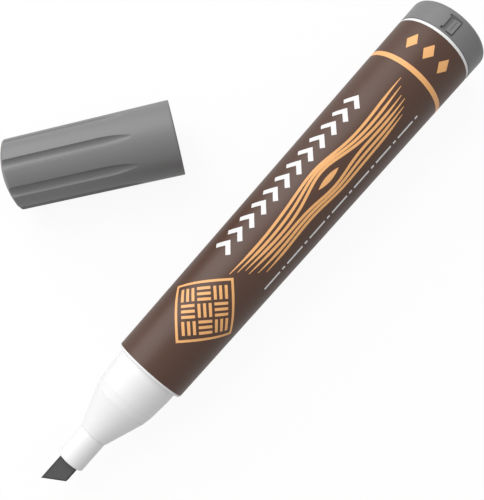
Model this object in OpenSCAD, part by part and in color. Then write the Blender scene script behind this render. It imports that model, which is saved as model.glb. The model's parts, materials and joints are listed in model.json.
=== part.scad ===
// Chisel-tip wood repair marker that lies on a table beside its cap, in millimetres.
// +X runs along the pen from the nib to the plug, +Z is up, and Z = 0 is the table.
// The origin is the middle of the table side of the whole object's box.
// Each piece is drawn upright, with its axis along Z and zero at the cap seat, and is then laid down.

/* [Body] */
// Length of the taper, from the cap seat to the flat end of the plug
body_len = 95.5; // [85:0.5:110]
// Diameter of the taper at the cap seat, over the label
front_d = 16; // [15.4:0.1:18]
// Diameter of the taper at the flat end of the plug
back_d = 18.6; // [17.6:0.1:20]
// Wall of the barrel
barrel_wall = 1.2; // [0.9:0.1:1.4]
// Width of the bare ring of barrel in front of the label
front_ring = 0.5; // [0.3:0.1:2]
// Width of the bare ring of barrel behind the label
back_ring = 0.75; // [0.3:0.05:2]
// Number of ribs in the barrel that hold the ink reservoir
ribs = 6; // [3:1:10]
// Thickness of a rib
rib_t = 1; // [0.6:0.1:1.6]

/* [Label] */
// Thickness of the printed film
film_t = 0.1; // [0.06:0.01:0.2]
// Width of the orange ring
stripe_w = 1.15; // [0.6:0.05:4]
// Distance from the orange ring to the back edge of the label
stripe_gap = 8.75; // [4:0.25:20]
// Depth of the orange ring in the film
ink_t = 0.04; // [0.02:0.01:0.05]

/* [Nose] */
// Diameter of the straight part of the cap seat
seat_d = 13.8; // [13.4:0.1:14.2]
// Length of the straight part of the cap seat
seat_len = 2; // [1:0.1:4]
// Diameter of the neck where the cone begins
neck_d = 13.04; // [12.4:0.02:13.4]
// Length of the neck, from the cap seat to the cone
neck_len = 7.35; // [6:0.05:9]
// Radius of the blend between the neck and the cone
neck_blend = 6; // [1:0.5:8]
// Outer diameter of the tube that holds the nib
tube_d = 6.04; // [5.9:0.02:6.6]
// Length of the tube
tube_len = 6.95; // [5:0.05:8]
// Wall of the cone and the spigot
nose_wall = 1.1; // [0.8:0.05:1.2]
// Length of the spigot in the barrel
spigot_len = 7; // [4:0.5:10]

/* [Nib] */
// Width of the felt
nib_w = 4.5; // [3.6:0.1:4.6]
// Thickness of the felt
nib_t = 2.4; // [1.6:0.1:2.5]
// How far the long side of the nib stands out of its tube
nib_long = 6.15; // [4.5:0.05:7]
// How far the short side stands out
nib_short = 3.25; // [1.5:0.05:4.4]
// How far the tail of the felt runs into the ink reservoir
nib_bite = 5; // [3:0.5:10]

/* [Reservoir] */
// Gap between the film round the fibre rod and the front of the barrel's bore, which the ribs fill
rod_gap = 0.54; // [0.3:0.02:1.5]
// Thickness of the film round the rod
wrap_t = 0.15; // [0.1:0.01:0.2]

/* [Plug] */
// Length of the plug that shows behind the barrel
plug_head = 5.55; // [5:0.05:8]
// Length of the plug inside the barrel
plug_len = 6; // [4:0.5:9]
// Wall of the plug
plug_wall = 1.2; // [1:0.1:1.4]
// Thickness of the closed end
plug_end = 1.5; // [1.2:0.1:2]
// Radius of the edge at the flat end
plug_round = 1.2; // [0.4:0.1:1.6]
// How far the plug's cross reaches past its rim to hold the fibre rod
plug_reach = 2; // [1:0.5:5]
// Length of the small pocket moulded in the plug
pocket_len = 3.65; // [3:0.05:3.8]
// Width of the pocket
pocket_w = 2.7; // [2.2:0.1:4]
// Depth of the pocket
pocket_depth = 0.8; // [0.5:0.05:1]

/* [Cap] */
// Length of the cap's side, from its mouth to the rim of its domed end
cap_len = 34.75; // [31:0.25:40]
// Diameter at the mouth
cap_d = 15.9; // [15.6:0.1:17]
// Height of the domed end
cap_dome = 1.8; // [0.8:0.1:2.4]
// Radius of the edge round the domed end
cap_round = 0.35; // [0.2:0.05:0.6]
// Thickness of the closed end
cap_end = 1.6; // [1.2:0.1:2.4]
// Distance from the nib's tip to the rim of the domed end when the cap is on
nib_room = 5.1; // [4:0.1:7]
// Depth of the straight bore that fits over the cap seat
bore_len = 8; // [6:0.5:10]
// Diameter of the hollow behind that bore
hollow_d = 12.4; // [12:0.1:12.6]
// Number of flutes
flutes = 8; // [4:1:10]
// Width of a flute
flute_w = 2.36; // [1.6:0.02:2.8]
// Depth of a flute
flute_depth = 0.75; // [0.3:0.05:0.8]
// Length of the smooth band between the mouth and the points of the flutes
band_len = 8.6; // [6:0.1:14]
// Length over which a flute deepens from its point
run_in = 6.8; // [4:0.1:10]
// How far the inner cap overlaps the nib tube when the cap is on
seal_len = 3.5; // [2:0.1:5]
// Wall of the inner cap
liner_wall = 0.9; // [0.6:0.05:1.2]

/* [Where the cap lies] */
// Distance from the cap seat to the middle of the cap's mouth, along the pen
cap_x = 39.8; // [30:0.1:60]
// Distance from the pen's middle line to the middle of the cap's mouth
cap_y = 28.2; // [26:0.1:50]
// Direction from the cap's mouth to its closed end, seen from above, in degrees
cap_turn = 144.7; // [125:0.1:170]
// How far the cap is rolled so that no flute is quite on top, in degrees
cap_roll = 1.7; // [0:0.1:20]

/* [Hidden] */
$fn = 96;

// Gap between pieces that are pushed together, between sliding pieces, and a cut's overrun
snug = 0.01;
slide = 0.05;
overrun = 0.5;

// The taper, as a slope of the radius and as an angle
slope = (back_d - front_d) / 2 / body_len;
taper = atan(slope);
function skin(z) = front_d / 2 + slope * z;
function barrel_skin(z) = skin(z) - film_t;

// Stations along the pen, from the cap seat
barrel_len = body_len - plug_head;
film_end = barrel_len - back_ring;
stripe_end = film_end - stripe_gap;
nib_reach = cap_len - nib_room;
tube_tip = nib_reach - nib_long;
tube_base = tube_tip - tube_len;
nib_tail = spigot_len + nib_bite;
rod_end = barrel_len - plug_len - plug_reach;

// Radii inside the pen
socket_r = barrel_skin(0) - barrel_wall;
plug_socket_r = barrel_skin(barrel_len - plug_len) - barrel_wall;
spigot_r = socket_r - snug;
stem_bore_r = norm([nib_w, nib_t]) / 2 + snug;
wrap_r = socket_r - rod_gap;
rod_r = wrap_r - wrap_t - snug;
rib_r = wrap_r + slide;
plug_r = plug_socket_r - snug;
plug_bore_r = plug_r - plug_wall;

// Small edges and the pocket's block, in shares of what carries them
edge_share = 0.15;
edge = barrel_wall * edge_share;
tube_edge = tube_d / 24;
nib_edge = nib_t / 12;
pocket_place_share = 0.33;
pocket_start = (plug_head - pocket_len) * pocket_place_share;
pocket_ear_share = 0.17;
block_share = [0.56, 0.8];
block_rise_share = 0.82;
groove_share = 0.16;

// Inside of the cap
mouth_r = cap_d / 2;
bore_r = seat_d / 2 + slide;
hollow_r = hollow_d / 2;
hollow_end = cap_len + cap_dome - cap_end;
bore_step = bore_r - hollow_r;
liner_front = tube_tip - seal_len;
liner_bore_r = tube_d / 2 + slide;
liner_r = liner_bore_r + liner_wall;
liner_floor = nib_reach + liner_wall;
liner_rim = liner_wall * 1.5;
function cap_skin(z) = mouth_r - slope * z;
rim_r = cap_skin(cap_len);
dome_r = (rim_r ^ 2 + cap_dome ^ 2) / (2 * cap_dome);
dome_steps = 12;

// A flute is a round channel of this radius, whose axis runs outside the cap
flute_r = ((flute_w / 2) ^ 2 + flute_depth ^ 2) / (2 * flute_depth);
flute_axis = flute_r - flute_depth;

// Outline of a flute as [radius, height, edge radius]: it swells from a point at the band to its full radius
flute_outline = [
    [0, band_len - run_in / 9, 0],
    for (a = [-10:20:90])
        [flute_axis + flute_depth * sin(a), band_len + run_in * a / 90, 0],
    [flute_r, cap_len + cap_dome + overrun, 0],
    [0, cap_len + cap_dome + overrun, 0]
];

// Outline of the cap as [radius, height, edge radius]
cap_outside = [
    [mouth_r, 0, edge],
    [rim_r, cap_len, cap_round],
    for (i = [1:dome_steps])
        let (a = asin(rim_r / dome_r) * (1 - i / dome_steps))
        [dome_r * sin(a), cap_len + cap_dome - dome_r * (1 - cos(a)), 0]
];

// Outline of the outside of the plug
plug_outside = [
    [skin(barrel_len), barrel_len, edge],
    [skin(body_len), body_len, plug_round],
    [0, body_len, 0]
];

// The middle of the whole object's box, worked out from the outlines of the pieces at its edges
function reach(outline, along, across) =
    max([for (p = rounded(outline)) p[1] * along + p[0] * across]);
box_left = -nib_reach * cos(taper) - nib_t / 2 * sin(taper);
box_right = reach(plug_outside, cos(taper), sin(taper));
box_front = -reach(plug_outside, 0, 1);
box_back = cap_y + reach(cap_outside, cos(taper) * sin(cap_turn),
                         norm([sin(taper) * sin(cap_turn), cos(cap_turn)]));
middle = [(box_left + box_right) / 2, (box_front + box_back) / 2];

function unit(v) = v / norm(v);
function angle_of(v) = atan2(v[1], v[0]);

// Points of a round of radius r at the corner p between its neighbours a and b
function round_points(a, p, b, r) =
    let (to_a = unit(a - p), to_b = unit(b - p),
         half = acos(to_a * to_b) / 2,
         centre = p + unit(to_a + to_b) * r / sin(half),
         first = angle_of(p + to_a * r / tan(half) - centre),
         last = angle_of(p + to_b * r / tan(half) - centre),
         turn = last - first,
         sweep = turn > 180 ? turn - 360 : turn < -180 ? turn + 360 : turn,
         steps = ceil(abs(sweep) / 9) + 1)
    [for (i = [0:steps]) centre + r * [cos(first + sweep * i / steps), sin(first + sweep * i / steps)]];

// An outline of [x, y, edge radius] as plain points, with its edges rounded
function rounded(outline) =
    let (n = len(outline), xy = [for (p = outline) [p[0], p[1]]])
    [for (i = [0:n - 1])
        each outline[i][2] > 0
            ? round_points(xy[(i + n - 1) % n], xy[i], xy[(i + 1) % n], outline[i][2])
            : [xy[i]]];

// A solid of revolution from an outline of [radius, height, edge radius]
module turned(outline) {
    rotate_extrude() polygon(rounded(outline));
}

// Lays a pen piece on the table, on the underside of the taper
module lay_pen() {
    translate([-middle[0], -middle[1], skin(0) * cos(taper)])
        rotate([0, 90 - taper, 0])
            rotate([0, 0, 180])
                children();
}

// Lays a cap piece on the table, beside the pen
module lay_cap() {
    translate([cap_x - middle[0], cap_y - middle[1], mouth_r * cos(taper)])
        rotate([0, 0, cap_turn])
            rotate([0, 90 + taper, 0])
                rotate([0, 0, 180 + cap_roll])
                    children();
}

// Felt slab with a slanted writing end
module nib() {
    color("dimgray") lay_pen() intersection() {
        translate([-nib_t / 2, 0, 0])
            rotate([90, 0, 90])
                linear_extrude(nib_t)
                    polygon([
                        [-nib_w / 2, -nib_reach],
                        [nib_w / 2, -tube_tip - nib_short],
                        [nib_w / 2, nib_tail],
                        [-nib_w / 2, nib_tail]
                    ]);
        translate([0, 0, -nib_reach])
            linear_extrude(nib_reach + nib_tail)
                polygon(rounded([
                    [nib_t / 2, nib_w / 2, nib_edge],
                    [-nib_t / 2, nib_w / 2, nib_edge],
                    [-nib_t / 2, -nib_w / 2, nib_edge],
                    [nib_t / 2, -nib_w / 2, nib_edge]
                ]));
    }
}

// Tube, cone, tapered neck and cap seat in front of the barrel, and the spigot inside it
module nose_section() {
    color("white") lay_pen() turned([
        [stem_bore_r, -tube_tip, 0],
        [tube_d / 2, -tube_tip, tube_edge],
        [tube_d / 2, -tube_base, 0],
        [neck_d / 2, -neck_len, neck_blend],
        [seat_d / 2, -seat_len, 0],
        [seat_d / 2, 0, 0],
        [spigot_r, 0, 0],
        [spigot_r, spigot_len, edge],
        [spigot_r - nose_wall, spigot_len, 0],
        [spigot_r - nose_wall, 0, 0],
        [neck_d / 2 - nose_wall, -neck_len, neck_blend],
        [stem_bore_r, -tube_base, 0]
    ]);
}

// The space inside the barrel
module barrel_bore(extra) {
    turned([
        [0, -overrun, 0],
        [socket_r + extra, -overrun, 0],
        [socket_r + extra, spigot_len, 0],
        [plug_socket_r + extra, barrel_len - plug_len, 0],
        [plug_socket_r + extra, barrel_len + overrun, 0],
        [0, barrel_len + overrun, 0]
    ]);
}

// Tapered shell, with ribs that stand in from its wall to the reservoir
module barrel() {
    rib_start = spigot_len + snug;
    rib_len = barrel_len - plug_len - snug - rib_start;
    color("whitesmoke") lay_pen() {
        difference() {
            turned([
                [0, 0, 0],
                [barrel_skin(0), 0, edge],
                [barrel_skin(barrel_len), barrel_len, edge],
                [0, barrel_len, 0]
            ]);
            barrel_bore(0);
        }
        intersection() {
            barrel_bore(barrel_wall / 2);
            for (i = [0:ribs - 1])
                rotate([0, 0, (i + 0.5) * 360 / ribs])
                    translate([rib_r, -rib_t / 2, rib_start])
                        cube([front_d / 2, rib_t, rib_len]);
        }
    }
}

// Printed film, with a shallow groove that the orange ring fills
module label_film() {
    floor_z = [stripe_end - stripe_w, stripe_end];
    color([0.30, 0.24, 0.21]) lay_pen() turned([
        [barrel_skin(front_ring) + snug, front_ring, 0],
        [skin(front_ring), front_ring, 0],
        [skin(floor_z[0]), floor_z[0], 0],
        [skin(floor_z[0]) - ink_t - snug, floor_z[0], 0],
        [skin(floor_z[1]) - ink_t - snug, floor_z[1], 0],
        [skin(floor_z[1]), floor_z[1], 0],
        [skin(film_end), film_end, 0],
        [barrel_skin(film_end) + snug, film_end, 0]
    ]);
}

// The orange ring, flush with the film
module label_stripe() {
    ends = [stripe_end - stripe_w, stripe_end];
    color([0.97, 0.70, 0.42]) lay_pen() turned([
        [skin(ends[0]) - ink_t, ends[0], 0],
        [skin(ends[0]), ends[0], 0],
        [skin(ends[1]), ends[1], 0],
        [skin(ends[1]) - ink_t, ends[1], 0]
    ]);
}

// Fibre rod, with a slot that the nib's tail pushes into
module ink_reservoir() {
    slot = [nib_t + 2 * snug, nib_w + 2 * snug, nib_bite + snug];
    color("slategray") lay_pen() difference() {
        translate([0, 0, spigot_len]) cylinder(r = rod_r, h = rod_end - spigot_len);
        translate([-slot[0] / 2, -slot[1] / 2, spigot_len - overrun])
            cube(slot + [0, 0, overrun]);
    }
}

// Film tube round the fibre rod
module reservoir_wrap() {
    color("lightsteelblue") lay_pen() turned([
        [rod_r + snug, spigot_len, 0],
        [wrap_r, spigot_len, 0],
        [wrap_r, rod_end, 0],
        [rod_r + snug, rod_end, 0]
    ]);
}

// The pocket in the plug, with a wide ear at each end of its left side
module plug_pocket() {
    ear = pocket_len * pocket_ear_share;
    step = pocket_w * pocket_ear_share;
    low = skin(barrel_len) - pocket_depth;
    block = [pocket_w * block_share[0], pocket_len * block_share[1]];
    groove = block[0] * groove_share;
    translate([low, 0, barrel_len + pocket_start]) difference() {
        rotate([90, 0, 90])
            linear_extrude(pocket_depth + overrun)
                polygon([
                    [-pocket_w / 2, 0],
                    [pocket_w / 2, 0],
                    [pocket_w / 2, pocket_len],
                    [-pocket_w / 2, pocket_len],
                    [-pocket_w / 2, pocket_len - ear],
                    [-pocket_w / 2 + step, pocket_len - ear],
                    [-pocket_w / 2 + step, ear],
                    [-pocket_w / 2, ear]
                ]);
        translate([0, step / 2, pocket_len / 2]) difference() {
            translate([-overrun, -block[0] / 2, -block[1] / 2])
                cube([pocket_depth * block_rise_share + overrun, block[0], block[1]]);
            translate([pocket_depth * block_rise_share - groove, -groove / 2, -block[1] / 3])
                cube([groove + overrun, groove, block[1] * 2 / 3]);
        }
    }
}

// Plug with a hollow skirt in the barrel and a cross that holds the fibre rod
module end_plug() {
    skirt_end = barrel_len - plug_len;
    end_wall = body_len - plug_end;
    color("dimgray") lay_pen() {
        difference() {
            turned(concat(plug_outside, [
                [0, end_wall, 0],
                [plug_bore_r, end_wall, 0],
                [plug_bore_r, skirt_end, 0],
                [plug_r, skirt_end, edge],
                [plug_r, barrel_len, 0]
            ]));
            plug_pocket();
        }
        for (a = [0, 90])
            rotate([0, 0, a])
                translate([-plug_bore_r / 2, -plug_wall / 2, rod_end])
                    cube([plug_bore_r, plug_wall, end_wall + plug_end / 2 - rod_end]);
    }
}

// One flute at the angle 0, whose axis runs along the cap's skin
module flute() {
    rotate([0, -taper, 0])
        translate([mouth_r * cos(taper) + flute_axis, 0, 0])
            turned(flute_outline);
}

// Outer cap
module cap_shell() {
    color("gray") lay_cap() difference() {
        turned(concat(cap_outside, [
            [0, hollow_end, 0],
            [hollow_r, hollow_end, 0],
            [hollow_r, bore_len + bore_step, 0],
            [bore_r, bore_len, 0],
            [bore_r, 0, edge]
        ]));
        for (i = [0:flutes - 1])
            rotate([0, 0, i * 360 / flutes]) flute();
    }
}

// Inner cap, pressed into the closed end, whose bore seals on the nib tube
module cap_liner() {
    color("gainsboro") lay_cap() turned([
        [liner_bore_r, liner_front, edge],
        [liner_r, liner_front, 0],
        [liner_r, hollow_end - liner_rim, 0],
        [hollow_r - snug, hollow_end - liner_rim, 0],
        [hollow_r - snug, hollow_end, 0],
        [0, hollow_end, 0],
        [0, liner_floor, 0],
        [liner_bore_r, liner_floor, 0]
    ]);
}

nib();
nose_section();
barrel();
label_film();
label_stripe();
ink_reservoir();
reservoir_wrap();
end_plug();
cap_shell();
cap_liner();
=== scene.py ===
import json
import math

import bmesh
import bpy
from mathutils import Matrix, Vector, noise


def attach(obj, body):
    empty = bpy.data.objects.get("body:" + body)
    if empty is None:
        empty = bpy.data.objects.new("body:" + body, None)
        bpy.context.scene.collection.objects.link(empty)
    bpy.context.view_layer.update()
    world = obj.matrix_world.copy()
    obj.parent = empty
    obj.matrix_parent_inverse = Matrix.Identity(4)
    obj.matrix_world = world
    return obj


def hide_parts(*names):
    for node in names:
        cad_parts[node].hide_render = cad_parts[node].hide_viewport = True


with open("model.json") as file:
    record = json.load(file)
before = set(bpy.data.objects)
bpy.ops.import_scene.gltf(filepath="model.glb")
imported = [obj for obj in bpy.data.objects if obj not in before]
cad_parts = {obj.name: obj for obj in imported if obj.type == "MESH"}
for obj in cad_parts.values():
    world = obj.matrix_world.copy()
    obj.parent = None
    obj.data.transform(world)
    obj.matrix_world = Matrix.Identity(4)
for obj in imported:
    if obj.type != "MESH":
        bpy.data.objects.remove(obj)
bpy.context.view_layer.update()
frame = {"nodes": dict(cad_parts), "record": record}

MM = 0.001
TINY = 1e-6
SEGMENTS = 192

# Sizes in millimetres along each piece's own axis, as in the solids
BODY_LEN, FRONT_D, BACK_D = 95.5, 16.0, 18.6
BARREL_WALL, FILM_T = 1.2, 0.1
FRONT_RING, BACK_RING = 0.5, 0.75
STRIPE_W, STRIPE_GAP, INK_T = 1.15, 8.75, 0.04
SEAT_D, SEAT_LEN = 13.8, 2.0
NECK_D, NECK_LEN, NECK_BLEND = 13.04, 7.35, 6.0
CONE_LEN, TUBE_D, TUBE_LEN = 9.2, 6.04, 6.95
NOSE_WALL, SPIGOT_LEN = 1.1, 7.0
NIB_W, NIB_T, NIB_LONG, NIB_SHORT, NIB_BITE = 4.5, 2.4, 6.15, 3.25, 5.0
PLUG_HEAD, PLUG_LEN, PLUG_WALL, PLUG_END = 5.55, 6.0, 1.2, 1.5
CAP_LEN, CAP_D, CAP_DOME, CAP_ROUND, CAP_END = 34.75, 15.9, 1.8, 0.35, 1.6
BORE_LEN, HOLLOW_D = 8.0, 12.4
FLUTES, FLUTE_W, FLUTE_DEPTH, BAND_LEN, RUN_IN = 8, 2.36, 0.75, 8.6, 6.8
SEAL_LEN, LINER_WALL = 3.5, 0.9
CAP_ROLL = math.radians(1.7)
SNUG, SLIDE = 0.01, 0.05
EDGE = BARREL_WALL * 0.15

SLOPE = (BACK_D - FRONT_D) / 2 / BODY_LEN
BARREL_LEN = BODY_LEN - PLUG_HEAD
FILM_END = BARREL_LEN - BACK_RING
STRIPE_END = FILM_END - STRIPE_GAP
STRIPE_START = STRIPE_END - STRIPE_W
TUBE_BASE = NECK_LEN + CONE_LEN
TUBE_TIP = TUBE_BASE + TUBE_LEN
NIB_REACH = TUBE_TIP + NIB_LONG
STEM_BORE_R = math.hypot(NIB_W, NIB_T) / 2 + SNUG


def skin(z):
    """Radius of the pen's tapered outside"""
    return FRONT_D / 2 + SLOPE * z


def barrel_skin(z):
    """Radius of the barrel under the film"""
    return skin(z) - FILM_T


def cap_skin(z):
    """Radius of the cap's outside between its flutes"""
    return CAP_D / 2 - SLOPE * z


SOCKET_R = barrel_skin(0) - BARREL_WALL
SPIGOT_R = SOCKET_R - SNUG
PLUG_SOCKET_R = barrel_skin(BARREL_LEN - PLUG_LEN) - BARREL_WALL
PLUG_R = PLUG_SOCKET_R - SNUG
PLUG_BORE_R = PLUG_R - PLUG_WALL
BORE_R, HOLLOW_R = SEAT_D / 2 + SLIDE, HOLLOW_D / 2
RIM_R = cap_skin(CAP_LEN)
CAP_TOP = CAP_LEN + CAP_DOME
DOME_R = (RIM_R ** 2 + CAP_DOME ** 2) / (2 * CAP_DOME)
HOLLOW_END = CAP_TOP - CAP_END
LINER_R = TUBE_D / 2 + SLIDE
LINER_RIM = HOLLOW_END - LINER_WALL * 1.5
LINER_FLOOR = NIB_REACH + LINER_WALL

# Edges and small forms. Some are as in the solids, and the others follow the photograph more closely
FINE_ROUND = 0.1
NIB_WORN, NIB_EDGE = 0.12, 0.14
TUBE_ROUND = TUBE_D / 24
ROOT_GROOVE, ROOT_STEP = 0.1, 0.08
CONE_TIP_R, CONE_CHAMFER, CONE_ROUND = TUBE_D / 2 + 0.2, 0.06, 0.04
BAND_R, BAND_Z, BAND_CREASE_W, BAND_CREASE_DEPTH = 6.13, 8.6, 0.05, 0.06
NECK_END_R, NECK_END, NECK_CREASE_W, NECK_CREASE_DEPTH = 6.49, 6.75, 0.06, 0.05
SEAT_ROUND, LIP_LEN, LIP_ROUND, LIP_DEPTH = 2.5, 0.4, 0.3, 0.1
FILM_ROUND = 0.03
PLUG_ROUND, PLUG_TRIM = 0.95, 0.12
POCKET_START, POCKET_LEN, POCKET_DEPTH, POCKET_LEAN = 0.3, 3.56, 0.62, 0.6
POCKET_LEFT, POCKET_RIGHT, POCKET_EAR, FRONT_EAR, BACK_EAR = -1.68, 1.45, 0.37, 0.68, 0.14
BLOCK_W, BLOCK_LEN, BLOCK_Y, BLOCK_Z = 1.5, 3.1, 0.42, 2.0
BLOCK_RISE, BLOCK_TILT, BLOCK_SINK = 0.43, -0.14, 0.3
SLOT_W, SLOT_LEN, SLOT_DEPTH = 0.26, BLOCK_LEN * 0.78, 0.12
OVERRUN = 1.0
POCKET_SOFT, POCKET_SHARP = 0.11, math.radians(55)


# Places of the pen and the cap, read from the frame's mounts
def laid(mount_name, station, roll=0.0):
    """Takes a piece's own millimetres, with its axis along Z and X up, to the shared frame"""
    mount = next(m for m in frame["record"]["mounts"] if m["name"] == mount_name)
    axis = -Vector(mount["axis"]).normalized()
    origin = Vector(mount["pos_m"]) - axis * station * MM
    side = axis.cross(Vector((0, 0, 1))).normalized()
    turn = Matrix((side.cross(axis), side, axis)).transposed().to_4x4()
    return Matrix.Translation(origin) @ turn @ Matrix.Rotation(roll, 4, "Z") @ Matrix.Scale(MM, 4)


PEN = laid("cap_seat", -SEAT_LEN / 2)
CAP = laid("cap_mouth", BORE_LEN / 2, CAP_ROLL)

# Spacing of the meshes' points in millimetres: the support rows of an edge, and the longest face
SUPPORT, LONGEST = 0.06, 3.0
ROUND_STEPS = 5
MERGE = 1e-5


# Outlines
def fillet(before, corner, after, radius):
    """Points of a round at a corner"""
    to_a, to_b = (before - corner).normalized(), (after - corner).normalized()
    half = to_a.angle(to_b) / 2
    centre = corner + (to_a + to_b).normalized() * radius / math.sin(half)
    start = corner + to_a * radius / math.tan(half) - centre
    end = corner + to_b * radius / math.tan(half) - centre
    first = math.atan2(start.y, start.x)
    sweep = math.atan2(end.y, end.x) - first
    sweep = (sweep + math.pi) % (2 * math.pi) - math.pi
    angles = [first + sweep * i / ROUND_STEPS for i in range(ROUND_STEPS + 1)]
    return [centre + radius * Vector((math.cos(a), math.sin(a))) for a in angles]


def rounded(outline):
    """A closed outline of (radius, height, edge radius) as points, with its edges rounded"""
    points, count = [], len(outline)
    for i, (x, y, radius) in enumerate(outline):
        corner = Vector((x, y))
        if radius > 0:
            before, after = outline[i - 1], outline[(i + 1) % count]
            points += fillet(Vector(before[:2]), corner, Vector(after[:2]), radius)
        else:
            points.append(corner)
    return points


def supported(points):
    """Adds points near both ends of each long stretch, so that smooth shading stays at the edges"""
    out = []
    for i, a in enumerate(points):
        b = points[(i + 1) % len(points)]
        out.append(a)
        length = (b - a).length
        on_axis = a.x < TINY and b.x < TINY
        if length < 4 * SUPPORT or on_axis:
            continue
        stops = [SUPPORT / length]
        parts = math.ceil(length / LONGEST)
        stops += [k / parts for k in range(1, parts) if SUPPORT < k / parts * length < length - SUPPORT]
        stops.append(1 - SUPPORT / length)
        out += [a.lerp(b, s) for s in stops]
    return out


# Meshes
def finish_mesh(name, bm, place, body, material, nodes=(), sharp=math.radians(50)):
    """Turns a bmesh in a piece's own millimetres into an object that rides on a body"""
    bmesh.ops.remove_doubles(bm, verts=bm.verts, dist=MERGE)
    bmesh.ops.recalc_face_normals(bm, faces=bm.faces)
    mesh = bpy.data.meshes.new(name)
    bm.to_mesh(mesh)
    bm.free()
    mesh.transform(place)
    mesh.shade_smooth()
    mesh.set_sharp_from_angle(angle=sharp)
    mesh.materials.append(material)
    piece = bpy.data.objects.new(name, mesh)
    bpy.context.scene.collection.objects.link(piece)
    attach(piece, body)
    if nodes:
        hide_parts(*nodes)
    return piece


def add_rings(bm, rows):
    """Faces between rows of points, each row a closed ring or one point on the axis"""
    rings = [[bm.verts.new(p) for p in row] for row in rows]
    for a, b in zip(rings, rings[1:] + rings[:1]):
        if len(a) == 1 and len(b) == 1:
            continue
        count = max(len(a), len(b))
        for i in range(count):
            j = (i + 1) % count
            corners = [a[i % len(a)], a[j % len(a)], b[j % len(b)], b[i % len(b)]]
            unique = list(dict.fromkeys(corners))
            if len(unique) > 2:
                bm.faces.new(unique)


def ring(radius, z):
    """A ring of points, or one point where it closes on the axis"""
    if radius < TINY:
        return [Vector((0, 0, z))]
    angles = [2 * math.pi * i / SEGMENTS for i in range(SEGMENTS)]
    return [Vector((radius * math.cos(a), radius * math.sin(a), z)) for a in angles]


def lathe(name, outline, place, body, material, nodes):
    """A turned piece from a closed outline of (radius, height, edge radius)"""
    bm = bmesh.new()
    add_rings(bm, [ring(p.x, p.y) for p in supported(rounded(outline))])
    return finish_mesh(name, bm, place, body, material, nodes)


# Materials. Noise is sized in cycles for each millimetre, and bump in millimetres
WHITE = (0.86, 0.86, 0.86)
GREY = (0.196, 0.196, 0.196)
PLUG_GREY = [c * 1.02 for c in GREY]
MILKY = (0.74, 0.74, 0.72)
CLEAR = (0.78, 0.8, 0.82)
BROWN = (0.084, 0.0395, 0.0245)
ORANGE = (0.92, 0.47, 0.18)
PRINT_WHITE = (0.82, 0.82, 0.82)
# The second felt colour is painted shade for the nib's edges
FELT, FELT_EDGE_SHADE = (0.098, 0.098, 0.098), (0.046, 0.046, 0.046)
DYED_FIBRE = (0.16, 0.12, 0.1)


def node_material(name, colour, roughness, specular=0.5):
    material = bpy.data.materials.new(name)
    material.use_nodes = True
    shader = material.node_tree.nodes["Principled BSDF"]
    shader.inputs["Base Color"].default_value = (*colour, 1)
    shader.inputs["Roughness"].default_value = roughness
    shader.inputs["Specular IOR Level"].default_value = specular
    return material, material.node_tree, shader


def object_noise(tree, per_mm, detail, stretch=(1, 1, 1)):
    """A noise in the object's own space"""
    place = tree.nodes.new("ShaderNodeTexCoord")
    mapping = tree.nodes.new("ShaderNodeMapping")
    mapping.inputs["Scale"].default_value = [s * per_mm / MM for s in stretch]
    texture = tree.nodes.new("ShaderNodeTexNoise")
    texture.inputs["Scale"].default_value = 1
    texture.inputs["Detail"].default_value = detail
    tree.links.new(place.outputs["Object"], mapping.inputs["Vector"])
    tree.links.new(mapping.outputs["Vector"], texture.inputs["Vector"])
    return texture.outputs["Fac"]


def vary_colour(tree, shader, factor, colour, spread):
    """Spreads a colour to a darker and a lighter one, and gives the mix that does it"""
    mix = tree.nodes.new("ShaderNodeMixRGB")
    mix.inputs["Color1"].default_value = (*[c * (1 - spread) for c in colour], 1)
    mix.inputs["Color2"].default_value = (*[min(c * (1 + spread), 1) for c in colour], 1)
    tree.links.new(factor, mix.inputs["Fac"])
    tree.links.new(mix.outputs["Color"], shader.inputs["Base Color"])
    return mix


def vary_roughness(tree, shader, factor, roughness, spread):
    stretch = tree.nodes.new("ShaderNodeMapRange")
    stretch.inputs["To Min"].default_value = roughness - spread
    stretch.inputs["To Max"].default_value = roughness + spread
    tree.links.new(factor, stretch.inputs["Value"])
    tree.links.new(stretch.outputs["Result"], shader.inputs["Roughness"])


def add_bump(tree, shader, height, depth_mm, strength):
    bump = tree.nodes.new("ShaderNodeBump")
    bump.inputs["Strength"].default_value = strength
    bump.inputs["Distance"].default_value = depth_mm * MM
    tree.links.new(height, bump.inputs["Height"])
    tree.links.new(bump.outputs["Normal"], shader.inputs["Normal"])


def plastic(name, colour, roughness, spread, grain_mm, depth_mm, strength, specular=0.5):
    """Moulded plastic: a fine mould grain, and a faint slow change of colour and gloss"""
    material, tree, shader = node_material(name, colour, roughness, specular)
    cloud = object_noise(tree, per_mm=0.12, detail=3)
    vary_colour(tree, shader, cloud, colour, spread)
    vary_roughness(tree, shader, cloud, roughness, spread=0.04)
    add_bump(tree, shader, object_noise(tree, per_mm=1 / grain_mm, detail=3), depth_mm, strength)
    return material


def printed_film(name, colour, spread, roughness=0.42, specular=0.42):
    """Satin film: slight unevenness of the ink, and a very shallow ripple where it is stuck down"""
    material, tree, shader = node_material(name, colour, roughness, specular)
    vary_colour(tree, shader, object_noise(tree, per_mm=2.5, detail=5), colour, spread)
    vary_roughness(tree, shader, object_noise(tree, per_mm=0.09, detail=2), roughness, spread=0.05)
    ripple = object_noise(tree, per_mm=0.22, detail=2, stretch=(0.35, 1, 1))
    add_bump(tree, shader, ripple, depth_mm=0.02, strength=0.35)
    return material


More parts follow.
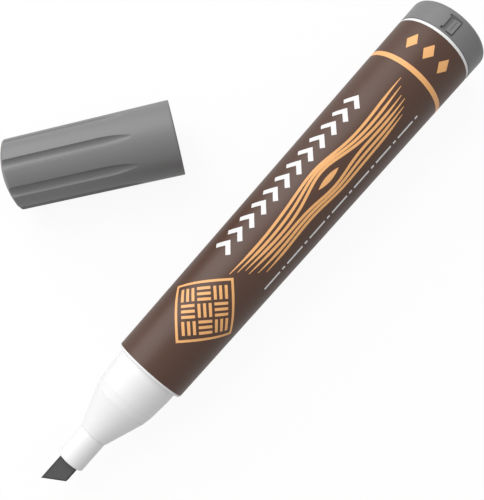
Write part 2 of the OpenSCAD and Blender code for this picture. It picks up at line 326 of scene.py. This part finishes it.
def felt_material():
    """Pressed felt: short fibres along the nib, and painted shade that darkens it along its edges"""
    material, tree, shader = node_material("nib_felt", FELT, roughness=0.95, specular=0.25)
    fibres = object_noise(tree, per_mm=6, detail=5, stretch=(0.25, 1, 1))
    mix = vary_colour(tree, shader, fibres, FELT, spread=0.28)
    # The rim attribute is a mask of painted shade along the nib's edges
    rim = tree.nodes.new("ShaderNodeAttribute")
    rim.attribute_name = "rim"
    darken = tree.nodes.new("ShaderNodeMixRGB")
    darken.inputs["Color2"].default_value = (*FELT_EDGE_SHADE, 1)
    tree.links.new(rim.outputs["Fac"], darken.inputs["Fac"])
    tree.links.new(mix.outputs["Color"], darken.inputs["Color1"])
    tree.links.new(darken.outputs["Color"], shader.inputs["Base Color"])
    add_bump(tree, shader, fibres, depth_mm=0.05, strength=0.6)
    return material


def fibre_material():
    """Bundle of fine fibres along the rod, soaked with dye"""
    material, tree, shader = node_material("reservoir_fibre", DYED_FIBRE, roughness=0.8)
    strands = object_noise(tree, per_mm=5, detail=4, stretch=(0.03, 1, 1))
    vary_colour(tree, shader, strands, DYED_FIBRE, spread=0.4)
    add_bump(tree, shader, strands, depth_mm=0.05, strength=0.6)
    return material


white_plastic = plastic("white_plastic", WHITE, roughness=0.38, spread=0.012,
                        grain_mm=0.25, depth_mm=0.004, strength=0.25)
grey_plastic = plastic("grey_plastic", GREY, roughness=0.45, spread=0.03,
                       grain_mm=0.18, depth_mm=0.006, strength=0.35)
plug_plastic = plastic("plug_plastic", PLUG_GREY, roughness=0.38, spread=0.03,
                       grain_mm=0.18, depth_mm=0.004, strength=0.25, specular=0.3)
natural_plastic = plastic("natural_plastic", MILKY, roughness=0.45, spread=0.02,
                          grain_mm=0.3, depth_mm=0.004, strength=0.25)
brown_film = printed_film("brown_film", BROWN, spread=0.06)
orange_ink = printed_film("orange_ink", ORANGE, spread=0.04)
white_ink = printed_film("white_ink", PRINT_WHITE, spread=0.02)
nib_felt = felt_material()
reservoir_fibre = fibre_material()
clear_film = plastic("clear_film", CLEAR, roughness=0.2, spread=0.01,
                     grain_mm=0.6, depth_mm=0.003, strength=0.2)


# Nib. Its mesh is cut a little way inside the tube, and is fine and fuzzy from there to the tip.
# NIB_SHARP is an angle in radians, and FUZZ holds pairs of (cycles for each millimetre, height).
NIB_CUT, NIB_FINE, NIB_FUZZY = 1.5, 1.4, 1.0
NIB_MESH, NIB_MESH_PASSES, NIB_SHARP = 0.28, 6, 0.5
# Width in millimetres and strength of the painted shade along the nib's edges
EDGE_SHADE_W, EDGE_SHADE_FULL = 0.36, 1.25
FUZZ, FUZZ_SINK = ((3.1, 0.012), (9.0, 0.008)), 0.02


def split_large_faces(bm):
    bmesh.ops.triangulate(bm, faces=[f for f in bm.faces if len(f.verts) > 4])


def refine_tip(bm):
    """Splits the long edges of the part that shows"""
    for _ in range(NIB_MESH_PASSES):
        front = [e for e in bm.edges
                 if e.calc_length() > NIB_MESH and min(v.co.z for v in e.verts) < -TUBE_TIP + NIB_FINE]
        if not front:
            break
        bmesh.ops.subdivide_edges(bm, edges=front, cuts=1, use_grid_fill=True)
        split_large_faces(bm)
    bmesh.ops.dissolve_verts(bm, verts=[v for v in bm.verts if len(v.link_edges) == 2])


def shade_and_fuzz_tip(bm, half, tip, slope):
    """Marks painted shade along the edges, in the attribute that the felt's material reads, and adds a fine
    fuzz
    """
    # The rim attribute holds painted shade, darkest at the edges
    rim = bm.verts.layers.float.new("rim")
    slant, corner = Vector((0, -slope, 1)).normalized(), Vector((0, -half, tip))
    bm.normal_update()
    for v in bm.verts:
        if v.co.z > -TUBE_TIP + NIB_FUZZY:
            continue
        gaps = sorted((NIB_T / 2 - abs(v.co.x), half - abs(v.co.y), (v.co - corner).dot(slant)))
        away = math.hypot(max(gaps[0], 0), max(gaps[1], 0))
        v[rim] = min(1.0, max(0.0, EDGE_SHADE_FULL - away / EDGE_SHADE_W))
        v.co += v.normal * (sum(noise.noise(v.co * rate) * size for rate, size in FUZZ) - FUZZ_SINK)


def build_nib():
    """Chisel of pressed felt with softened, slightly uneven edges"""
    half = NIB_W / 2 - NIB_WORN
    slope = (NIB_LONG - NIB_SHORT) / NIB_W
    tip, tail = NIB_WORN * (1 + slope) - NIB_REACH, SPIGOT_LEN + NIB_BITE
    side = [(-half, tip), (half, tip + slope * 2 * half), (half, tail), (-half, tail)]
    bm = bmesh.new()
    sheets = [[bm.verts.new((x, y, z)) for y, z in side] for x in (-NIB_T / 2, NIB_T / 2)]
    for sheet in sheets:
        bm.faces.new(sheet)
    for i in range(len(side)):
        j = (i + 1) % len(side)
        bm.faces.new((sheets[0][i], sheets[0][j], sheets[1][j], sheets[1][i]))
    bmesh.ops.bisect_plane(bm, geom=bm.verts[:] + bm.edges[:] + bm.faces[:],
                           plane_co=(0, 0, -TUBE_TIP + NIB_CUT), plane_no=(0, 0, 1))
    bmesh.ops.recalc_face_normals(bm, faces=bm.faces)
    sharp = [e for e in bm.edges if e.calc_face_angle(0) > NIB_SHARP]
    bmesh.ops.bevel(bm, geom=sharp, offset=NIB_EDGE, segments=3, profile=0.5, affect="EDGES")
    split_large_faces(bm)
    refine_tip(bm)
    shade_and_fuzz_tip(bm, half, tip, slope)
    finish_mesh("felt_nib", bm, PEN, "pen", nib_felt, ["nib"])


# Nose, barrel and label
def crease(radius, z, width, depth):
    """A fine moulded line round a turned piece"""
    return [(radius, z - width / 2, 0), (radius - depth, z, 0), (radius, z + width / 2, 0)]


def build_nose():
    lathe("nose", [
        (STEM_BORE_R, -TUBE_TIP, FINE_ROUND),
        (TUBE_D / 2, -TUBE_TIP, TUBE_ROUND),
        (TUBE_D / 2, -TUBE_BASE - ROOT_GROOVE, 0),
        (TUBE_D / 2 - ROOT_GROOVE, -TUBE_BASE - ROOT_STEP, 0),
        (TUBE_D / 2 - ROOT_GROOVE, -TUBE_BASE, 0),
        (CONE_TIP_R - CONE_CHAMFER, -TUBE_BASE, CONE_ROUND),
        (CONE_TIP_R, -TUBE_BASE + ROOT_GROOVE, CONE_ROUND),
        *crease(BAND_R, -BAND_Z, BAND_CREASE_W, BAND_CREASE_DEPTH),
        *crease(NECK_END_R, -NECK_END, NECK_CREASE_W, NECK_CREASE_DEPTH),
        (SEAT_D / 2, -SEAT_LEN, SEAT_ROUND),
        (SEAT_D / 2, -LIP_LEN, LIP_ROUND),
        (SEAT_D / 2 - LIP_DEPTH, 0, 0),
        (SPIGOT_R, 0, 0),
        (SPIGOT_R, SPIGOT_LEN, EDGE),
        (SPIGOT_R - NOSE_WALL, SPIGOT_LEN, 0),
        (SPIGOT_R - NOSE_WALL, 0, 0),
        (NECK_D / 2 - NOSE_WALL, -NECK_LEN, NECK_BLEND),
        (STEM_BORE_R, -TUBE_BASE, 0),
    ], PEN, "pen", white_plastic, ["nose_section"])


def build_barrel():
    lathe("barrel_shell", [
        (SOCKET_R, 0, 0),
        (barrel_skin(0), 0, EDGE),
        (barrel_skin(BARREL_LEN), BARREL_LEN, EDGE),
        (PLUG_SOCKET_R, BARREL_LEN, 0),
        (PLUG_SOCKET_R, BARREL_LEN - PLUG_LEN, 0),
        (SOCKET_R, SPIGOT_LEN, 0),
    ], PEN, "pen", white_plastic, ["barrel"])


def build_label():
    """The film round the barrel, with a shallow seat for the orange ring"""
    lathe("label", [
        (barrel_skin(FRONT_RING) + SNUG, FRONT_RING, 0),
        (skin(FRONT_RING), FRONT_RING, FILM_ROUND),
        (skin(STRIPE_START), STRIPE_START, 0),
        (skin(STRIPE_START) - INK_T - SNUG, STRIPE_START, 0),
        (skin(STRIPE_END) - INK_T - SNUG, STRIPE_END, 0),
        (skin(STRIPE_END), STRIPE_END, 0),
        (skin(FILM_END), FILM_END, FILM_ROUND),
        (barrel_skin(FILM_END) + SNUG, FILM_END, 0),
    ], PEN, "pen", brown_film, ["label_film"])


def build_label_ring():
    lathe("label_ring", [
        (skin(STRIPE_START) - INK_T, STRIPE_START, 0),
        (skin(STRIPE_START), STRIPE_START, 0),
        (skin(STRIPE_END), STRIPE_END, 0),
        (skin(STRIPE_END) - INK_T, STRIPE_END, 0),
    ], PEN, "pen", orange_ink, ["label_stripe"])


# Printed design: ribbons of ink that lie on the film, placed by (station, across) in millimetres
INK_RISE, INK_SINK = 0.012, 0.01
INK_MESH_W, INK_MESH_LEN, INK_SHARP = 0.3, 0.4, math.radians(30)
MITRE = math.sqrt(2)


def on_label(z, across, lift):
    """Point of the label at a station, some millimetres across from its top line"""
    angle = across / skin(z)
    radius = skin(z) + lift
    return Vector((radius * math.cos(angle), radius * math.sin(angle), z))


def add_ribbon(bm, line, widths, loop=False):
    """A closed slab of ink along a line of points, with a width at each point"""
    count = max(2, math.ceil(max(widths) / INK_MESH_W) + 1)
    tops, bottoms = [], []
    for i, point in enumerate(line):
        ahead, behind = line[min(i + 1, len(line) - 1)], line[max(i - 1, 0)]
        if loop:
            ahead, behind = line[(i + 1) % len(line)], line[i - 1]
        along = (Vector(ahead) - Vector(behind)).normalized()
        across = Vector((-along.y, along.x))
        row = [Vector(point) + across * widths[i] * (k / (count - 1) - 0.5) for k in range(count)]
        tops.append([bm.verts.new(on_label(p.x, p.y, INK_RISE)) for p in row])
        bottoms.append([bm.verts.new(on_label(p.x, p.y, -INK_SINK)) for p in row])
    ends = ((tops[0], bottoms[0]), (tops[-1], bottoms[-1]))
    if loop:
        tops.append(tops[0])
        bottoms.append(bottoms[0])
        ends = ()
    for a, b, c, d in zip(tops, tops[1:], bottoms, bottoms[1:]):
        for k in range(count - 1):
            bm.faces.new((a[k], a[k + 1], b[k + 1], b[k]))
            bm.faces.new((c[k + 1], c[k], d[k], d[k + 1]))
        bm.faces.new((c[0], a[0], b[0], d[0]))
        bm.faces.new((a[-1], c[-1], d[-1], b[-1]))
    for top, bottom in ends:
        for k in range(count - 1):
            bm.faces.new((top[k], top[k + 1], bottom[k + 1], bottom[k]))


def add_stroke(bm, start, end, width):
    """A straight bar of ink"""
    a, b = Vector(start), Vector(end)
    steps = max(2, math.ceil((b - a).length / INK_MESH_LEN))
    add_ribbon(bm, [tuple(a.lerp(b, i / steps)) for i in range(steps + 1)], [width] * (steps + 1))


def draw_parquet(bm):
    """A lozenge of basket-weave parquet in a thin frame"""
    middle, cell, cells = Vector((16.5, 0.6)), 3.3, 3
    bars, bar_w, bar_len = 3, 0.58, 0.82 * cell
    frame_gap, frame_w, frame_steps = 0.75, 0.5, 30
    turn = Matrix.Rotation(math.radians(45), 2)

    def place(u, v):
        return middle + turn @ Vector((u, v))

    def centred(index, count):
        return index - (count - 1) / 2

    half = bar_len / 2
    for i in range(cells):
        for j in range(cells):
            u, v = centred(i, cells) * cell, centred(j, cells) * cell
            for k in range(bars):
                off = centred(k, bars) * cell / bars
                ends = [(-half, off), (half, off)] if (i + j) % 2 else [(off, -half), (off, half)]
                start, end = [place(u + du, v + dv) for du, dv in ends]
                add_stroke(bm, start, end, bar_w)
    rim = cell * cells / 2 + frame_gap
    corners = [place(u, v) for u, v in ((-rim, -rim), (rim, -rim), (rim, rim), (-rim, rim))]
    line, widths = [], []
    for a, b in zip(corners, corners[1:] + corners[:1]):
        line += [tuple(a.lerp(b, i / frame_steps)) for i in range(frame_steps)]
        widths += [frame_w * MITRE] + [frame_w] * (frame_steps - 1)
    add_ribbon(bm, line, widths, loop=True)


def draw_chevrons(bm):
    """A row of bold arrowheads along the label"""
    first, pitch, count = 29.5, 3.55, 12
    across, arm, width, steps = -5.2, 1.9, 1.05, 4
    widths = [width] * steps + [width * MITRE] + [width] * steps
    for i in range(count):
        z = first + i * pitch
        line = [(z - arm * abs(k) / steps, across + arm * k / steps) for k in range(-steps, steps + 1)]
        add_ribbon(bm, line, widths)


def draw_grain(bm):
    """Flowing lines of wood grain that part round a slim knot"""
    first, last, middle, steps = 27.5, 74.5, 2.1, 120
    lines, gap, pitch, fan = 3, 0.48, 1.02, 1.3
    thin, swell, fade = 0.12, 0.46, 14
    knot, knot_half, knot_w, knot_end_w, knot_steps = 52.0, 3, 1.1, 0.06, 24
    part, part_loss, part_len = 1.5, 0.35, 6.5
    wave, wave_rate, wave_shift = 0.35, 0.21, 0.5
    for side in (-1, 1):
        for k in range(lines):
            line, widths = [], []
            for i in range(steps + 1):
                z = first + (last - first) * i / steps + k * fan * side * (1 - 2 * i / steps)
                near = math.exp(-((z - knot) / part_len) ** 2)
                off = gap + k * pitch + near * (part - part_loss * k)
                line.append((z, middle + side * off + wave * math.sin(z * wave_rate + k * wave_shift)))
                widths.append(thin + swell * min(1, i / fade, (steps - i) / fade))
            add_ribbon(bm, line, widths)
    stations = [knot - knot_half + 2 * knot_half * i / knot_steps for i in range(knot_steps + 1)]
    add_ribbon(bm, [(z, middle + wave * math.sin(knot * wave_rate)) for z in stations],
               [knot_end_w + knot_w * (1 - ((z - knot) / knot_half) ** 2) for z in stations])


def draw_pinstripe(bm):
    """A thin line of long and short dashes"""
    z, pitch, count = 27.5, 6.8, 7
    across, width, dashes = 7.6, 0.42, ((0, 4.6), (5.3, 6.1))
    for _ in range(count):
        for start, end in dashes:
            add_stroke(bm, (z + start, across), (z + end, across), width)
        z += pitch


def draw_lozenges(bm):
    """Three small diamonds behind the ring"""
    middle, half, steps = STRIPE_END + STRIPE_GAP / 2, 1.9, 16
    pitch, end_w, swell = 4.2, 0.05, 2.5
    widths = [end_w + swell * (1 - abs(2 * i / steps - 1)) for i in range(steps + 1)]
    for across in (-pitch, 0.0, pitch):
        add_ribbon(bm, [(middle - half + 2 * half * i / steps, across) for i in range(steps + 1)], widths)


def build_print():
    for name, draw, slot, material in (
            ("print_parquet", draw_parquet, "orange_ink", orange_ink),
            ("print_chevrons", draw_chevrons, None, white_ink),
            ("print_grain", draw_grain, "orange_ink", orange_ink),
            ("print_pinstripe", draw_pinstripe, None, white_ink),
            ("print_lozenges", draw_lozenges, "orange_ink", orange_ink)):
        bm = bmesh.new()
        draw(bm)
        finish_mesh(name, bm, PEN, "pen", material, sharp=INK_SHARP)


# End plug with its small moulded pocket
def box_outline(y, z, width, length):
    return [(y - width / 2, z - length / 2), (y + width / 2, z - length / 2),
            (y + width / 2, z + length / 2), (y - width / 2, z + length / 2)]


def prism(name, outline, low, high, lean=0, tilt=0):
    """A tool for a boolean: a prism along X from an outline of (y, z) points

    lean is how far its back wall leans out for its height, and tilt how fast its top falls along Y.
    """
    back = max(z for _, z in outline)
    middle = sum(y for y, _ in outline) / len(outline)
    bm = bmesh.new()
    foot = [bm.verts.new((low, y, z)) for y, z in outline]
    head = []
    for y, z in outline:
        shift = lean * (high - low) if z == back else 0
        head.append(bm.verts.new((high - tilt * (y - middle), y, z + shift)))
    bm.faces.new(foot)
    bm.faces.new(head)
    for i in range(len(outline)):
        j = (i + 1) % len(outline)
        bm.faces.new((foot[i], foot[j], head[j], head[i]))
    bmesh.ops.recalc_face_normals(bm, faces=bm.faces)
    mesh = bpy.data.meshes.new(name)
    bm.to_mesh(mesh)
    bm.free()
    mesh.transform(PEN)
    tool = bpy.data.objects.new(name, mesh)
    bpy.context.scene.collection.objects.link(tool)
    return tool


def apply_modifiers(piece):
    bpy.context.view_layer.update()
    shape = bpy.data.meshes.new_from_object(piece.evaluated_get(bpy.context.evaluated_depsgraph_get()))
    piece.modifiers.clear()
    piece.data = shape


def carve(piece, steps):
    """Applies boolean steps of (operation, tool) to a piece, and removes the tools"""
    for operation, tool in steps:
        change = piece.modifiers.new(tool.name, "BOOLEAN")
        change.operation = operation
        change.solver = "EXACT"
        change.object = tool
    apply_modifiers(piece)
    for _, tool in steps:
        bpy.data.objects.remove(tool)


def cut_pocket(plug):
    """A shallow pocket with two ears on one side, and a slotted block that stands in it"""
    start = BARREL_LEN + POCKET_START
    end = start + POCKET_LEN
    ear_y = POCKET_LEFT + POCKET_EAR
    low = skin(BARREL_LEN) - POCKET_DEPTH
    top = low + BLOCK_RISE
    pocket = [(POCKET_LEFT, start), (POCKET_RIGHT, start), (POCKET_RIGHT, end), (POCKET_LEFT, end),
              (POCKET_LEFT, end - BACK_EAR), (ear_y, end - BACK_EAR),
              (ear_y, start + FRONT_EAR), (POCKET_LEFT, start + FRONT_EAR)]
    block = box_outline(BLOCK_Y, start + BLOCK_Z, BLOCK_W, BLOCK_LEN)
    slot = box_outline(BLOCK_Y, start + BLOCK_Z, SLOT_W, SLOT_LEN)
    carve(plug, [
        ("DIFFERENCE", prism("pocket_tool", pocket, low, low + POCKET_DEPTH + OVERRUN, lean=POCKET_LEAN)),
        ("UNION", prism("block_tool", block, low - BLOCK_SINK, top, tilt=BLOCK_TILT)),
        ("DIFFERENCE", prism("slot_tool", slot, top - SLOT_DEPTH, top + OVERRUN)),
    ])


def soften_edges(plug):
    soft = plug.modifiers.new("edges", "BEVEL")
    soft.width = POCKET_SOFT * MM
    soft.segments = 3
    soft.limit_method = "ANGLE"
    soft.angle_limit = POCKET_SHARP
    plug.data.shade_smooth()
    plug.modifiers.new("flat_faces", "WEIGHTED_NORMAL")
    apply_modifiers(plug)


def build_plug():
    skirt, wall = BARREL_LEN - PLUG_LEN, BODY_LEN - PLUG_END
    plug = lathe("plug", [
        (skin(BARREL_LEN), BARREL_LEN, EDGE),
        (skin(BODY_LEN), BODY_LEN - PLUG_TRIM, PLUG_ROUND),
        (0, BODY_LEN - PLUG_TRIM, 0),
        (0, wall, 0),
        (PLUG_BORE_R, wall, 0),
        (PLUG_BORE_R, skirt, 0),
        (PLUG_R, skirt, EDGE),
        (PLUG_R, BARREL_LEN, 0),
    ], PEN, "pen", plug_plastic, ["end_plug"])
    cut_pocket(plug)
    soften_edges(plug)


# Cap with flutes. Each flute is the cap's outside cut by a round channel, with a soft lip
FLUTE_R = ((FLUTE_W / 2) ** 2 + FLUTE_DEPTH ** 2) / (2 * FLUTE_DEPTH)
FLUTE_AXIS = FLUTE_R - FLUTE_DEPTH
FLUTE_ANGLE = FLUTE_W / 2 / RIM_R
SECTOR = 2 * math.pi / FLUTES
LIP, CAP_SHARP = 0.1, math.radians(60)

# The round at the cap's end turns from the side towards a point this far below the top of the dome
RIM_AIM = 0.3

# Columns of the cap's mesh, from a flute's middle to the middle between two flutes. INSIDE holds shares of
# the way to the lip, and OUTSIDE millimetres beyond it, which draw together where the room left is less than
# OUTSIDE_ROOM times the last of them. BETWEEN more columns share the rest. The way to the lip is at least
# NARROW, in millimetres, and at most WIDEST_SHARE of the flute's sector.
NARROW, WIDEST_SHARE = 0.08, 0.3
INSIDE = [0, 0.16, 0.32, 0.48, 0.62, 0.74, 0.84, 0.91, 0.96, 0.985, 1]
OUTSIDE = [0.02, 0.05, 0.09, 0.15, 0.25, 0.5]
OUTSIDE_ROOM, BETWEEN = 1.6, 5

# Rows of the cap's mesh: ahead of the flutes, where the columns draw together until FAN_END, along their
# run-in, along the side behind it, over the end as far as the flutes cut it, over the rest of the end, where
# the columns spread again, and in the hollow
BAND_ROWS, FAN_END = (0.5, 1.2, 2.4, 3.6, 4.8, 6.0, 7.0, 7.7, 8.2, 8.5), 8.3
RUN_ROWS, RUN_CROWDING = 30, 1.25
SIDE_START, SIDE_STEP, SIDE_STOP, SIDE_LAST = 1, 1.5, 0.4, 0.08
FLUTED_END_ROWS, FLUTED_END_OVER = 14, 0.1
END_FAN, END_FAN_WIDTH, END_ROWS = (0.1, 0.25, 0.5, 0.9, 1.5), 1.6, 6
CEILING_RADII, HOLLOW_ROW, BORE_ROWS = (0, 0.5, 3), 20, (3, 0.2)


def channel_radius(z):
    """Radius of the flute's channel at a station, or 0 ahead of it"""
    share = (z - BAND_LEN) / RUN_IN
    if share <= 0:
        return 0
    return FLUTE_AXIS + FLUTE_DEPTH * (math.sin(share * math.pi / 2) if share < 1 else 1)


def edge_angle(radius, z):
    """Angle from a flute's middle to its lip, on a ring of that radius, or 0 where it misses the ring"""
    reach = cap_skin(z) + FLUTE_AXIS
    channel = channel_radius(z)
    if channel <= 0:
        return 0
    share = (reach ** 2 + radius ** 2 - channel ** 2) / (2 * reach * radius)
    return math.acos(share) if -1 < share < 1 else 0


def cut_radius(radius, angle, z):
    """The ring's radius, or the channel's wall where that is lower, with a soft lip between"""
    reach = cap_skin(z) + FLUTE_AXIS
    channel = channel_radius(z)
    inside = channel ** 2 - (reach * math.sin(angle)) ** 2
    if channel <= 0 or inside <= 0:
        return radius
    wall = reach * math.cos(angle) - math.sqrt(inside)
    depth = max(radius - (reach - channel), 0)
    lip = min(LIP, depth)
    blend = max(lip - abs(wall - radius), 0) / lip if lip > TINY else 0
    return min(wall, radius) - blend ** 2 * lip / 4


def cap_row(radius, z, spread=0.0):
    """One ring of the cap's outside; spread is the flute's half angle where no flute cuts the ring"""
    if radius < TINY:
        return [Vector((0, 0, z))]
    lip = min(max(edge_angle(radius, z), NARROW / radius, spread), SECTOR * WIDEST_SHARE)
    offsets = [lip * s for s in INSIDE]
    scale = min(1, (SECTOR / 2 - lip) / (OUTSIDE[-1] * OUTSIDE_ROOM / radius))
    offsets += [lip + o / radius * scale for o in OUTSIDE]
    rest = SECTOR / 2 - offsets[-1]
    offsets += [offsets[-1] + rest * k / BETWEEN for k in range(1, BETWEEN + 1)]
    angles = [-a for a in offsets[-2:0:-1]] + offsets
    row = []
    for i in range(FLUTES):
        for a in angles:
            r = cut_radius(radius, a, z)
            turn = i * SECTOR + a
            row.append(Vector((r * math.cos(turn), r * math.sin(turn), z)))
    return row


def cap_side_rows(corner):
    """Rings from the cap's mouth to the round of its end, whose points are given"""
    mouth = rounded([(BORE_R, 0, FINE_ROUND), (CAP_D / 2, 0, EDGE), (cap_skin(BAND_LEN), BAND_LEN, 0)])
    rows = [cap_row(p.x, p.y, FLUTE_ANGLE) for p in mouth[:-1]]
    rows += [cap_row(cap_skin(z), z, FLUTE_ANGLE * max(0, 1 - z / FAN_END)) for z in BAND_ROWS]
    stations = [BAND_LEN + RUN_IN * (i / RUN_ROWS) ** RUN_CROWDING for i in range(1, RUN_ROWS + 1)]
    z, side_end = BAND_LEN + RUN_IN + SIDE_START, corner[0].y
    while z < side_end - SIDE_STOP:
        stations.append(z)
        z += SIDE_STEP
    stations.append(side_end - SIDE_LAST)
    rows += [cap_row(cap_skin(z), z) for z in stations]
    return rows + [cap_row(p.x, p.y) for p in corner]


def cap_end_rows(last):
    """Rings of the domed end, from the end of its round to its middle"""
    floor = RIM_R - FLUTE_DEPTH - FLUTED_END_OVER
    radii = [last - (last - floor) * i / FLUTED_END_ROWS for i in range(1, FLUTED_END_ROWS + 1)]
    inner = radii[-1]
    radii += [inner - r for r in END_FAN]
    radii += [(inner - END_FAN[-1]) * k / END_ROWS for k in range(END_ROWS - 1, -1, -1)]
    rows = []
    for r in radii:
        z = CAP_TOP - DOME_R + math.sqrt(DOME_R ** 2 - r ** 2)
        back = max(0, min(1, (inner - r) / END_FAN_WIDTH))
        rows.append(cap_row(r, z, FLUTE_ANGLE * back * RIM_R / max(r, 1)))
    return rows


def cap_hollow_rows():
    """Rings of the cap's inside, from the middle of its ceiling to its mouth"""
    outline = [(r, HOLLOW_END) for r in (*CEILING_RADII, HOLLOW_R - SUPPORT, HOLLOW_R)]
    outline += [(HOLLOW_R, z) for z in (HOLLOW_END - SUPPORT, HOLLOW_ROW, BORE_LEN + BORE_R - HOLLOW_R)]
    outline += [(BORE_R, z) for z in (BORE_LEN, BORE_LEN - SUPPORT, *BORE_ROWS)]
    unit = cap_row(1, 0, FLUTE_ANGLE)
    rows = [[Vector((v.x * r, v.y * r, z)) for v in unit] for r, z in outline[1:]]
    return [[Vector((0, 0, HOLLOW_END))]] + rows


def build_cap():
    corner = rounded([(CAP_D / 2, 0, 0), (RIM_R, CAP_LEN, CAP_ROUND), (0, CAP_TOP - RIM_AIM, 0)])[1:-1]
    bm = bmesh.new()
    add_rings(bm, cap_side_rows(corner) + cap_end_rows(corner[-1].x) + cap_hollow_rows())
    finish_mesh("cap", bm, CAP, "cap", grey_plastic, ["cap_shell"], sharp=CAP_SHARP)


def build_liner():
    lathe("inner_cap", [
        (LINER_R, TUBE_TIP - SEAL_LEN, EDGE),
        (LINER_R + LINER_WALL, TUBE_TIP - SEAL_LEN, FINE_ROUND),
        (LINER_R + LINER_WALL, LINER_RIM, 0),
        (HOLLOW_R - SNUG, LINER_RIM, 0),
        (HOLLOW_R - SNUG, HOLLOW_END, 0),
        (0, HOLLOW_END, 0),
        (0, LINER_FLOOR, 0),
        (LINER_R, LINER_FLOOR, 0),
    ], CAP, "cap", natural_plastic, ["cap_liner"])


def dress_reservoir():
    """The fibre rod and its film keep the shapes of the solids"""
    for node, material in (("ink_reservoir", reservoir_fibre), ("reservoir_wrap", clear_film)):
        frame["nodes"][node].data.materials.clear()
        frame["nodes"][node].data.materials.append(material)


# Floor and light. Lengths are in metres, and the floor and the room are shares of plain white
FLOOR_HALF = 4
FLOOR_SEEN, FLOOR_MIRRORED = 0.92, 0.6
FLOOR_PAINT, FLOOR_BOUNCE = (0.95, 0.95, 0.95), (0.6, 0.6, 0.6)
ROOM_LOW, ROOM_HIGH = 0.24, 0.73

# The photograph's camera, solved from the outlines of the pen and the cap on one table. The lens is in
# millimetres, and the near clip in metres
EYE = Vector((-19.331, -29.837, 166.964)) * MM
RIGHT = Vector((0.65966, -0.75110, 0.02639))
UP = Vector((0.74378, 0.65747, 0.12051))
LENS, CLIP_START = 55.836, 0.01


def white_share(tree, seen_share, mirrored_share):
    """How much of the plain white a ray meets: one share for the camera, one for gloss and glass"""
    path = tree.nodes.new("ShaderNodeLightPath")
    total = None
    for ray, share in (("Is Camera Ray", seen_share), ("Is Glossy Ray", mirrored_share),
                       ("Is Transmission Ray", mirrored_share)):
        part = tree.nodes.new("ShaderNodeMath")
        part.operation = "MULTIPLY"
        part.inputs[1].default_value = share
        tree.links.new(path.outputs[ray], part.inputs[0])
        if total is None:
            total = part
            continue
        most = tree.nodes.new("ShaderNodeMath")
        most.operation = "MAXIMUM"
        tree.links.new(total.outputs["Value"], most.inputs[0])
        tree.links.new(part.outputs["Value"], most.inputs[1])
        total = most
    return total.outputs["Value"]


def floor_material():
    """White to the camera and in gloss, and a calmer grey to the light that it throws back"""
    material = bpy.data.materials.new("floor_white")
    material.use_nodes = True
    tree = material.node_tree
    tree.nodes.clear()
    path = tree.nodes.new("ShaderNodeLightPath")
    tint = tree.nodes.new("ShaderNodeMixRGB")
    tint.inputs["Color1"].default_value = (*FLOOR_BOUNCE, 1)
    tint.inputs["Color2"].default_value = (*FLOOR_PAINT, 1)
    tree.links.new(path.outputs["Is Camera Ray"], tint.inputs["Fac"])
    paint = tree.nodes.new("ShaderNodeBsdfDiffuse")
    tree.links.new(tint.outputs["Color"], paint.inputs["Color"])
    glow = tree.nodes.new("ShaderNodeEmission")
    glow.inputs["Strength"].default_value = 1
    mix = tree.nodes.new("ShaderNodeMixShader")
    out = tree.nodes.new("ShaderNodeOutputMaterial")
    tree.links.new(white_share(tree, FLOOR_SEEN, FLOOR_MIRRORED), mix.inputs["Fac"])
    tree.links.new(paint.outputs["BSDF"], mix.inputs[1])
    tree.links.new(glow.outputs["Emission"], mix.inputs[2])
    tree.links.new(mix.outputs["Shader"], out.inputs["Surface"])
    return material


def build_floor():
    bm = bmesh.new()
    bmesh.ops.create_grid(bm, x_segments=2, y_segments=2, size=FLOOR_HALF)
    mesh = bpy.data.meshes.new("floor")
    bm.to_mesh(mesh)
    bm.free()
    floor = bpy.data.objects.new("floor", mesh)
    bpy.context.scene.collection.objects.link(floor)
    floor.data.materials.append(floor_material())


def build_world():
    """A room that is brighter above than below, and plain white to the camera and in gloss"""
    world = bpy.data.worlds.new("studio")
    bpy.context.scene.world = world
    world.use_nodes = True
    tree = world.node_tree
    room = tree.nodes["Background"]
    room.inputs["Color"].default_value = (1, 1, 1, 1)
    place = tree.nodes.new("ShaderNodeTexCoord")
    split = tree.nodes.new("ShaderNodeSeparateXYZ")
    rise = tree.nodes.new("ShaderNodeMapRange")
    rise.inputs["To Min"].default_value = ROOM_LOW
    rise.inputs["To Max"].default_value = ROOM_HIGH
    tree.links.new(place.outputs["Generated"], split.inputs["Vector"])
    tree.links.new(split.outputs["Z"], rise.inputs["Value"])
    tree.links.new(rise.outputs["Result"], room.inputs["Strength"])
    white = tree.nodes.new("ShaderNodeBackground")
    white.inputs["Strength"].default_value = 1
    mix = tree.nodes.new("ShaderNodeMixShader")
    tree.links.new(white_share(tree, 1, 1), mix.inputs["Fac"])
    tree.links.new(room.outputs["Background"], mix.inputs[1])
    tree.links.new(white.outputs["Background"], mix.inputs[2])
    tree.links.new(mix.outputs["Shader"], tree.nodes["World Output"].inputs["Surface"])


def build_softbox(name, direction, distance, width, height, watts):
    light = bpy.data.lights.new(name, "AREA")
    light.shape = "RECTANGLE"
    light.size = width
    light.size_y = height
    light.energy = watts
    lamp = bpy.data.objects.new(name, light)
    bpy.context.scene.collection.objects.link(lamp)
    lamp.location = Vector(direction).normalized() * distance
    lamp.rotation_euler = Vector(direction).to_track_quat("Z", "X").to_euler()


def build_camera():
    back = RIGHT.cross(UP).normalized()
    up = back.cross(RIGHT).normalized()
    data = bpy.data.cameras.new("camera")
    data.lens = LENS
    data.clip_start = CLIP_START
    camera = bpy.data.objects.new("camera", data)
    camera.matrix_world = Matrix.Translation(EYE) @ Matrix((RIGHT, up, back)).transposed().to_4x4()
    bpy.context.scene.collection.objects.link(camera)
    bpy.context.scene.camera = camera


build_nib()
build_nose()
build_barrel()
build_label()
build_label_ring()
build_print()
build_plug()
build_cap()
build_liner()
dress_reservoir()
build_floor()
build_world()
build_softbox("key", direction=(0.08, 0.74, 0.67), distance=0.8, width=0.86, height=0.7, watts=5.6)
build_camera()
bpy.context.scene.view_settings.view_transform = "Standard"
